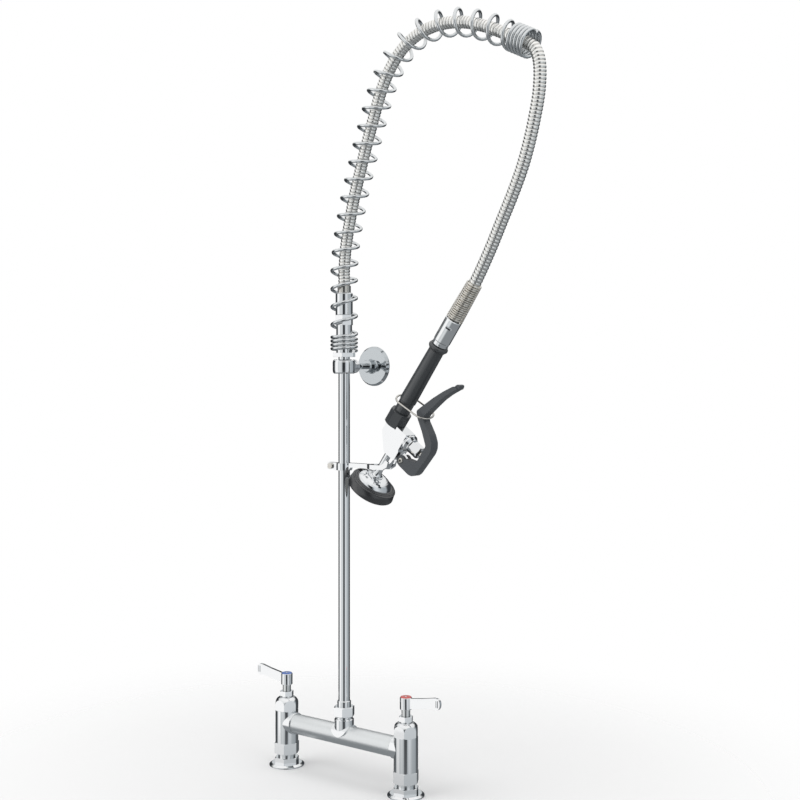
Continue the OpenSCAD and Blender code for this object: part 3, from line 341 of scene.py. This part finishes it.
def easedCopy(node, width, sharpAngle=28, softAngle=50):
    bm = bmesh.new()
    bm.from_mesh(nodes[node].data)
    bmesh.ops.remove_doubles(bm, verts=bm.verts, dist=0.002 * mm)
    bmesh.ops.dissolve_limit(bm, angle_limit=math.radians(0.6), verts=bm.verts, edges=bm.edges)
    sharp = [e for e in bm.edges if e.is_manifold and e.calc_face_angle() > math.radians(sharpAngle)]
    bmesh.ops.bevel(bm, geom=sharp, offset=width, offset_type="OFFSET", segments=2, profile=0.5,
                    affect="EDGES", clamp_overlap=True, material=-1)
    mesh = bpy.data.meshes.new(node + "Eased")
    bm.to_mesh(mesh)
    bm.free()
    mesh.shade_smooth()
    mesh.set_sharp_from_angle(angle=math.radians(softAngle))
    piece = finishPiece(node + "Eased", mesh, node)
    weights = piece.modifiers.new("weights", "WEIGHTED_NORMAL")
    weights.keep_sharp = True
    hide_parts(node)
    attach(piece, bodyOf[node])
    return piece


lathe = {"steps": 72, "sharpAngle": 32}


# a turned piece: the profile is (radius, height, painted shade in the hollow) from the middle or the bore,
# round the outside and back
def lathePiece(name, profile, node, turned, finish=None, replaces=True):
    bm = bmesh.new()
    hollowShadeAndDull = bm.verts.layers.float.new("hollowShadeAndDull")
    verts = []
    for radius, height, hollow in profile:
        verts.append(bm.verts.new((radius, 0, height)))
        verts[-1][hollowShadeAndDull] = hollow
    edges = [bm.edges.new(pair) for pair in zip(verts, verts[1:])]
    bmesh.ops.spin(bm, geom=verts + edges, cent=(0, 0, 0), axis=(0, 0, 1), angle=2 * math.pi,
                   steps=lathe["steps"], use_merge=True)
    bmesh.ops.remove_doubles(bm, verts=bm.verts, dist=0.001 * mm)
    bmesh.ops.recalc_face_normals(bm, faces=bm.faces)
    bmesh.ops.transform(bm, matrix=turned, verts=bm.verts)
    mesh = bpy.data.meshes.new(name)
    bm.to_mesh(mesh)
    bm.free()
    mesh.shade_smooth()
    mesh.set_sharp_from_angle(angle=math.radians(lathe["sharpAngle"]))
    piece = finishPiece(name, mesh, node)
    if finish:
        mesh.materials[0] = finishes[finish]
    if replaces:
        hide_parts(node)
    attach(piece, bodyOf[node])
    return piece


def wirePiece(name, points, width, node, body):
    curve = bpy.data.curves.new(name, "CURVE")
    curve.dimensions = "3D"
    spline = curve.splines.new("POLY")
    spline.points.add(len(points) - 1)
    for point, place in zip(spline.points, points):
        point.co = (*place, 1)
    curve.bevel_depth = width / 2
    curve.bevel_resolution = 4
    curve.use_fill_caps = True
    spline.use_smooth = True
    holder = bpy.data.objects.new(name + "Line", curve)
    bpy.context.scene.collection.objects.link(holder)
    bpy.context.view_layer.update()
    mesh = bpy.data.meshes.new_from_object(holder)
    bpy.data.objects.remove(holder)
    mesh.name = name
    mesh.shade_smooth()
    mesh.set_sharp_from_angle(angle=math.radians(60))
    piece = finishPiece(name, mesh, node)
    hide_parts(node)
    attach(piece, body)
    return piece


armSpring = {
    "outside": 36.2 * mm,
    "pitch": 23.2 * mm,
    "closedPitch": springWire + 0.8 * mm,
    "footTurns": 4,
    "openTurns": 23,
    "stretch": 23.2 * mm,  # the turns open out by this much over the bend
    "stretchFrom": 0.62,  # shares of the open turns
    "stretchOver": 0.34,
    "tipTurns": 5.5,
    "tipStraight": 12 * mm,
    "stepsPerTurn": 24,
}


def eased(share):
    share = max(0, min(1, share))
    return share * share * (3 - 2 * share)


def springAt(turn):
    foot, middle = armSpring["footTurns"], armSpring["openTurns"]
    opened = max(0, min(turn - foot, middle))
    bent = eased((opened / middle - armSpring["stretchFrom"]) / armSpring["stretchOver"])
    closed = min(turn, foot) + max(0, turn - foot - middle)
    return armSpring["closedPitch"] * closed + armSpring["pitch"] * opened + armSpring["stretch"] * bent


tipStart = springAt(armSpring["footTurns"] + armSpring["openTurns"]) - armSpring["tipStraight"]


def springPoint(turn):
    s = springAt(turn)
    axis = onLine(s) if s < tipStart else onLine(tipStart) + (s - tipStart) * wayAt(tipStart)
    angle = 2 * math.pi * turn
    radius = (armSpring["outside"] - springWire) / 2
    outward = math.cos(angle) * sideAt(min(s, tipStart)) + math.sin(angle) * Vector((0, 1, 0))
    return axis + radius * outward


allTurns = armSpring["footTurns"] + armSpring["openTurns"] + armSpring["tipTurns"]
steps = round(allTurns * armSpring["stepsPerTurn"])
springPoints = [springPoint(allTurns * i / steps) for i in range(steps + 1)]
wirePiece("overheadSpringWire", springPoints, springWire, "overhead_spring", "fixed_frame")
print("overhead spring:", round(allTurns, 1), "turns")


reliefSpring = {
    "wire": 1.7 * mm,
    "turns": 19.5,
    "pitch": 2.66 * mm,
    "footRadius": 10.35 * mm,
    "topRadius": 9.05 * mm,
    "start": 150.9 * mm,  # distance up the handle
    "stepsPerTurn": 24,
}


def reliefPoint(facts, share):
    turn = facts["turns"] * share
    radius = facts["footRadius"] + (facts["topRadius"] - facts["footRadius"]) * share
    angle = 2 * math.pi * turn
    up = facts["start"] + facts["pitch"] * turn
    return valvePoint(radius * math.cos(angle), up, radius * math.sin(angle))


reliefSteps = round(reliefSpring["turns"] * reliefSpring["stepsPerTurn"])
reliefPoints = [reliefPoint(reliefSpring, i / reliefSteps) for i in range(reliefSteps + 1)]
relief = wirePiece("strainReliefWire", reliefPoints, reliefSpring["wire"], "strain_relief_spring",
                   "spray_gun")
relief.data.materials[0] = finishes["spring_steel_warm"]
print("strain relief spring:", reliefSpring["turns"], "turns")


hoseFacts = {
    "outside": 15.4 * mm,
    "grooveDepth": 0.8 * mm,
    "ribs": 200,
    "ringsPerRib": 6,
    "sides": 24,
    "endGap": 0.05 * mm,
    "pathSteps": 120,
}


def hosePiece(facts):
    length = lineAt[-1] - footLength - 2 * facts["endGap"]
    start = footLength + facts["endGap"]
    rings = facts["ribs"] * facts["ringsPerRib"]
    bm = bmesh.new()
    bmesh.ops.create_grid(bm, x_segments=rings, y_segments=facts["sides"], size=1)
    hollowShadeAndDull = bm.verts.layers.float.new("hollowShadeAndDull")
    for vert in bm.verts:
        along, girth = (vert.co.x + 1) / 2, (vert.co.y + 1) / 2
        crown = math.sqrt(abs(math.sin(math.pi * facts["ribs"] * along)))
        radius = facts["outside"] / 2 - facts["grooveDepth"] * (1 - crown)
        s = start + length * along
        angle = 2 * math.pi * girth
        # the grooves get the hollow mask, which paints shade into the steel's colour there and makes it
        # rougher
        vert[hollowShadeAndDull] = 1 - crown
        vert.co = onLine(s) + radius * (math.cos(angle) * sideAt(s) + math.sin(angle) * Vector((0, 1, 0)))
    bmesh.ops.remove_doubles(bm, verts=bm.verts, dist=0.01 * mm)
    bmesh.ops.holes_fill(bm, edges=[e for e in bm.edges if e.is_boundary])
    bmesh.ops.recalc_face_normals(bm, faces=bm.faces)
    mesh = bpy.data.meshes.new("ribbedHose")
    bm.to_mesh(mesh)
    bm.free()
    mesh.shade_smooth()
    piece = finishPiece("ribbedHose", mesh, "hose")
    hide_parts("hose")
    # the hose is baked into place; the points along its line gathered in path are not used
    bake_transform(piece)
    pathSteps = facts["pathSteps"]
    path = [onLine(start + length * i / pathSteps) for i in range(pathSteps + 1)]
    return piece


hosePiece(hoseFacts)
print("hose:", hoseFacts["ribs"], "ribs")


easedPairs = {
    "inlet": 0.35 * mm,
    "coupling_nut": 0.9 * mm,
    "bonnet": 0.9 * mm,
    "gland_nut": 0.35 * mm,
    "lever": 0.6 * mm,
}
easedSingles = {
    "riser_nut": 0.8 * mm,
    "riser_top_nut": 0.4 * mm,
    "hose_adapter": 0.4 * mm,
    "adapter_nut": 0.3 * mm,
    "hook_front": 0.4 * mm,
    "hook_back": 0.4 * mm,
    "collar_nut": 0.5 * mm,
    "squeeze_lever": 1.1 * mm,
    "valve_bonnet": 0.35 * mm,
    "valve_body": 1 * mm,
}
for side in ("cold", "hot"):
    for part, width in easedPairs.items():
        easedCopy(side + "_" + part, width)
for part, width in easedSingles.items():
    easedCopy(part, width)
print("eased pieces:", 2 * len(easedPairs) + len(easedSingles))


# rubber bumper: a ribbed shoulder, and the fine parting line of its mould where the shoulder meets the side
bumperFacts = {
    "centre": (17.2 * mm, -89.1 * mm),  # across and up from the valve's middle
    "profile": [
        (23.56, -14.1), (23.56, -3.4), (23.5, -2), (23.2, -0.9), (22.95, -0.05), (24.6, -0.15),
        (24.9, -0.75), (25.5, -0.8), (25.8, -0.35), (26.9, -0.6), (27.2, -1.2), (27.8, -1.25), (28.1, -0.9),
        (29.3, -1.5), (29.6, -1.55), (30.05, -1.7), (30.3, -2.1), (30.2, -2.5), (29.7, -2.8), (30.2, -3.4),
        (31.8, -11.7), (31.4, -12.9), (30.2, -14.1), (23.56, -14.1),
    ],
}
valveTurn = Matrix.Translation(valve["place"]) @ Matrix.Rotation(valve["tilt"], 4, "Y")
bumperPlace = valveTurn @ Matrix.Translation((bumperFacts["centre"][0], 0, bumperFacts["centre"][1]))
lathePiece("rubberBumper", [(r * mm, z * mm, 0) for r, z in bumperFacts["profile"]], "bumper", bumperPlace)

# hollow rivet that the squeeze lever turns on
rivetFacts = {
    "centre": (38.3 * mm, -37.3 * mm),
    "reach": 7.06,  # half of the length between its heads
    # the third column is painted shade in the rivet's bore, full at the middle of the hole
    "head": [
        (0, -0.6, 1), (1.1, -0.6, 1), (1.25, 0.9, 0.6), (1.6, 1.5, 0), (2.4, 1.35, 0), (3.3, 0.75, 0),
        (3.6, 0, 0),
    ],
}
rivetHalf = [(r * mm, (rivetFacts["reach"] + z) * mm, boreShade) for r, z, boreShade in rivetFacts["head"]]
rivetHalf.append((2 * mm, rivetFacts["reach"] * mm, 0))
rivetProfile = rivetHalf + [(r, -z, boreShade) for r, z, boreShade in reversed(rivetHalf)]
rivetPlace = (valveTurn @ Matrix.Translation((rivetFacts["centre"][0], 0, rivetFacts["centre"][1]))
              @ Matrix.Rotation(math.radians(90), 4, "X"))
lathePiece("pivotRivet", rivetProfile, "pivot_pin", rivetPlace, "rivet_steel")

# plain bright stud in the middle of each index button
studFacts = {"radius": 1.7 * mm, "height": 0.35 * mm, "sunk": 0.3 * mm}
for side in ("cold", "hot"):
    low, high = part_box(side + "_index")
    tall, wide = studFacts["height"], studFacts["radius"]
    studProfile = [(0, -studFacts["sunk"], 0), (wide, -studFacts["sunk"], 0), (wide, 0.3 * tall, 0),
                   (0.8 * wide, 0.8 * tall, 0), (0.4 * wide, tall, 0), (0, tall, 0)]
    middle = Matrix.Translation(((low.x + high.x) / 2, (low.y + high.y) / 2, high.z))
    lathePiece(side + "ButtonStud", studProfile, side + "_index", middle, "chrome_plate", replaces=False)
print("turned pieces: 4")


# the studio wall round the object, seen only in reflections: shades by bearing from the camera's side,
# in degrees to the right, and a darkening towards the floor
reflectionWall = {
    "radius": 2.6,
    "low": -3,
    "high": 3.4,
    "dimBelow": (-1.25, -0.45),
    "floorColour": "#8a8e91",
    "shades": [
        (-180, "#3a3d40"), (-110, "#36393b"), (-99, "#dfe3e4"), (-93, "#ffffff"), (-66, "#ffffff"),
        (-60, "#d3d7d9"), (-40, "#e4e7e8"), (-22, "#c9cdcf"), (-15, "#5c6063"), (-10, "#2c2e30"),
        (7, "#2e3032"), (12, "#7d8286"), (18, "#cfd4d8"), (36, "#e3e7ea"), (60, "#b8bec1"),
        (100, "#a4abb0"), (114, "#3a3d40"),
    ],
    "clearAbove": (1.2, 2.2),
    "topColour": "#f4f5f5",
}
lightCards = {
    # behind and low, mirrored by the flat tops of the nuts and flanges
    "backCard": {"bearing": 180, "away": 2.45, "width": 1.2, "low": 0.66, "high": 1.02, "colour": "#cdd1d3",
                 "strength": 1},
    # to the left, the bright line on every upright tube and on the grip
    "softBox": {"bearing": -78, "away": 2.4, "width": 0.85, "low": -0.62, "high": 2.0, "colour": "#ffffff",
                "strength": 1.05},
}
cameraSide = math.radians(cameraFacts["turn"])


def studioWall(facts):
    bm = bmesh.new()
    bmesh.ops.create_cone(bm, cap_ends=False, segments=96, radius1=facts["radius"], radius2=facts["radius"],
                          depth=facts["high"] - facts["low"])
    bmesh.ops.translate(bm, vec=(0, 0, (facts["high"] + facts["low"]) / 2), verts=bm.verts)
    disc = bmesh.ops.create_circle(bm, cap_ends=True, segments=96, radius=facts["radius"])
    bmesh.ops.translate(bm, vec=(0, 0, facts["low"]), verts=disc["verts"])
    mesh = bpy.data.meshes.new("studioWall")
    bm.to_mesh(mesh)
    bm.free()
    material = bpy.data.materials.new("studioWall")
    material.use_nodes = True
    tree = material.node_tree
    tree.nodes.clear()
    place = addNode(tree, "ShaderNodeTexCoord")
    turn = addNode(tree, "ShaderNodeTexGradient", links={"Vector": place.outputs["Object"]},
                   gradient_type="RADIAL")
    shades = addNode(tree, "ShaderNodeValToRGB", links={"Fac": turn.outputs["Fac"]})
    stops = shades.color_ramp.elements
    while len(stops) < len(facts["shades"]):
        stops.new(1)
    for stop, (bearing, code) in zip(stops, facts["shades"]):
        stop.position = 0.5 + bearing / 360
        stop.color = colour(code)
    height = addNode(tree, "ShaderNodeSeparateXYZ", links={"Vector": place.outputs["Object"]})
    low, high = facts["dimBelow"]
    dim = addNode(tree, "ShaderNodeMapRange", {"From Min": low, "From Max": high},
                  {"Value": height.outputs["Z"]}, interpolation_type="SMOOTHSTEP")
    shade = addNode(tree, "ShaderNodeMix", links={"Factor": dim.outputs["Result"]}, data_type="RGBA")
    shade.inputs["A"].default_value = colour(facts["floorColour"])
    tree.links.new(shades.outputs["Color"], shade.inputs["B"])
    clearLow, clearHigh = facts["clearAbove"]
    clear = addNode(tree, "ShaderNodeMapRange", {"From Min": clearLow, "From Max": clearHigh},
                    {"Value": height.outputs["Z"]}, interpolation_type="SMOOTHSTEP")
    ends = {"Factor": clear.outputs["Result"], "A": shade.outputs["Result"]}
    top = addNode(tree, "ShaderNodeMix", links=ends, data_type="RGBA")
    top.inputs["B"].default_value = colour(facts["topColour"])
    glow = addNode(tree, "ShaderNodeEmission", links={"Color": top.outputs["Result"]})
    addNode(tree, "ShaderNodeOutputMaterial", links={"Surface": glow.outputs["Emission"]})
    mesh.materials.append(material)
    wall = bpy.data.objects.new("studioWall", mesh)
    wall.location = (0.05, 0, 0)
    wall.rotation_euler.z = cameraSide - math.radians(90)  # local X points to the camera's side
    bpy.context.scene.collection.objects.link(wall)
    wall.visible_camera = False
    wall.visible_diffuse = False
    wall.visible_shadow = False


def lightCard(name, facts):
    bm = bmesh.new()
    bmesh.ops.create_grid(bm, x_segments=1, y_segments=1, size=0.5)
    bmesh.ops.scale(bm, vec=(facts["width"], facts["high"] - facts["low"], 1), verts=bm.verts)
    mesh = bpy.data.meshes.new(name)
    bm.to_mesh(mesh)
    bm.free()
    material = bpy.data.materials.new(name)
    material.use_nodes = True
    tree = material.node_tree
    tree.nodes.clear()
    light = {"Color": colour(facts["colour"]), "Strength": facts["strength"]}
    glow = addNode(tree, "ShaderNodeEmission", light)
    addNode(tree, "ShaderNodeOutputMaterial", links={"Surface": glow.outputs["Emission"]})
    mesh.materials.append(material)
    card = bpy.data.objects.new(name, mesh)
    turn = cameraSide - math.radians(90) + math.radians(facts["bearing"])
    card.location = (facts["away"] * math.cos(turn), facts["away"] * math.sin(turn),
                     (facts["low"] + facts["high"]) / 2)
    card.rotation_euler = (math.radians(90), 0, turn - math.radians(90))
    bpy.context.scene.collection.objects.link(card)
    card.visible_camera = False
    card.visible_diffuse = False
    card.visible_shadow = False


studioWall(reflectionWall)
for name, facts in lightCards.items():
    lightCard(name, facts)

floorFacts = {"radius": 0.75, "fadeStart": 0.12, "colour": "#fafafa"}


def floorPiece(facts):
    bm = bmesh.new()
    bmesh.ops.create_circle(bm, cap_ends=True, segments=96, radius=facts["radius"])
    mesh = bpy.data.meshes.new("floor")
    bm.to_mesh(mesh)
    bm.free()
    values = {"Base Color": colour(facts["colour"]), "Roughness": 0.6, "Specular IOR Level": 0.2}
    material, tree, shader = newMaterial("paleFloor", values)
    place = addNode(tree, "ShaderNodeTexCoord")
    distance = addNode(tree, "ShaderNodeVectorMath", links={0: place.outputs["Object"]}, operation="LENGTH")
    reach = {"From Min": facts["fadeStart"], "From Max": facts["radius"]}
    fade = addNode(tree, "ShaderNodeMapRange", reach, {"Value": distance.outputs["Value"]},
                   interpolation_type="SMOOTHSTEP")
    clear = addNode(tree, "ShaderNodeBsdfTransparent")
    parts = {0: fade.outputs["Result"], 1: shader.outputs["BSDF"], 2: clear.outputs["BSDF"]}
    mixed = addNode(tree, "ShaderNodeMixShader", links=parts)
    tree.links.new(mixed.outputs["Shader"], tree.nodes["Material Output"].inputs["Surface"])
    mesh.materials.append(material)
    floor = bpy.data.objects.new("floor", mesh)
    floor.location.z = -0.2 * mm
    floor.visible_glossy = False  # the metal mirrors the studio round it, and not the floor
    bpy.context.scene.collection.objects.link(floor)


floorPiece(floorFacts)

lamps = {
    "keyLamp": ((-1.2, -1.6, 2.2), 2.0, 26),
    "fillLamp": ((2.0, -0.3, 1.6), 1.4, 8),
    "topLamp": ((0.1, 0.3, 2.6), 1.5, 12),
}
for name, (place, size, power) in lamps.items():
    data = bpy.data.lights.new(name, "AREA")
    data.size = size
    data.energy = power
    lamp = bpy.data.objects.new(name, data)
    lamp.location = place
    lamp.rotation_euler = (Vector((0.1, 0, 0.5)) - Vector(place)).to_track_quat("-Z", "Y").to_euler()
    lamp.visible_glossy = False  # the metal mirrors the studio wall, and not the lamps
    bpy.context.scene.collection.objects.link(lamp)

world = bpy.data.worlds.new("studio")
bpy.context.scene.world = world
world.use_nodes = True
tree = world.node_tree
tree.nodes.clear()
rays = addNode(tree, "ShaderNodeLightPath")
straight = {0: rays.outputs["Is Camera Ray"], 1: rays.outputs["Is Glossy Ray"]}
mirror = addNode(tree, "ShaderNodeMath", links=straight, operation="MAXIMUM")
through = {0: mirror.outputs["Value"], 1: rays.outputs["Is Transmission Ray"]}
seen = addNode(tree, "ShaderNodeMath", links=through, operation="MAXIMUM")
soft = addNode(tree, "ShaderNodeBackground", {"Color": colour("#ffffff"), "Strength": 0.55})
white = addNode(tree, "ShaderNodeBackground", {"Color": colour("#ffffff"), "Strength": 1})
both = addNode(tree, "ShaderNodeMixShader", links={0: seen.outputs["Value"], 1: soft.outputs["Background"],
               2: white.outputs["Background"]})
addNode(tree, "ShaderNodeOutputWorld", links={"Surface": both.outputs["Shader"]})
bpy.context.scene.view_settings.view_transform = "Standard"
print("studio set")
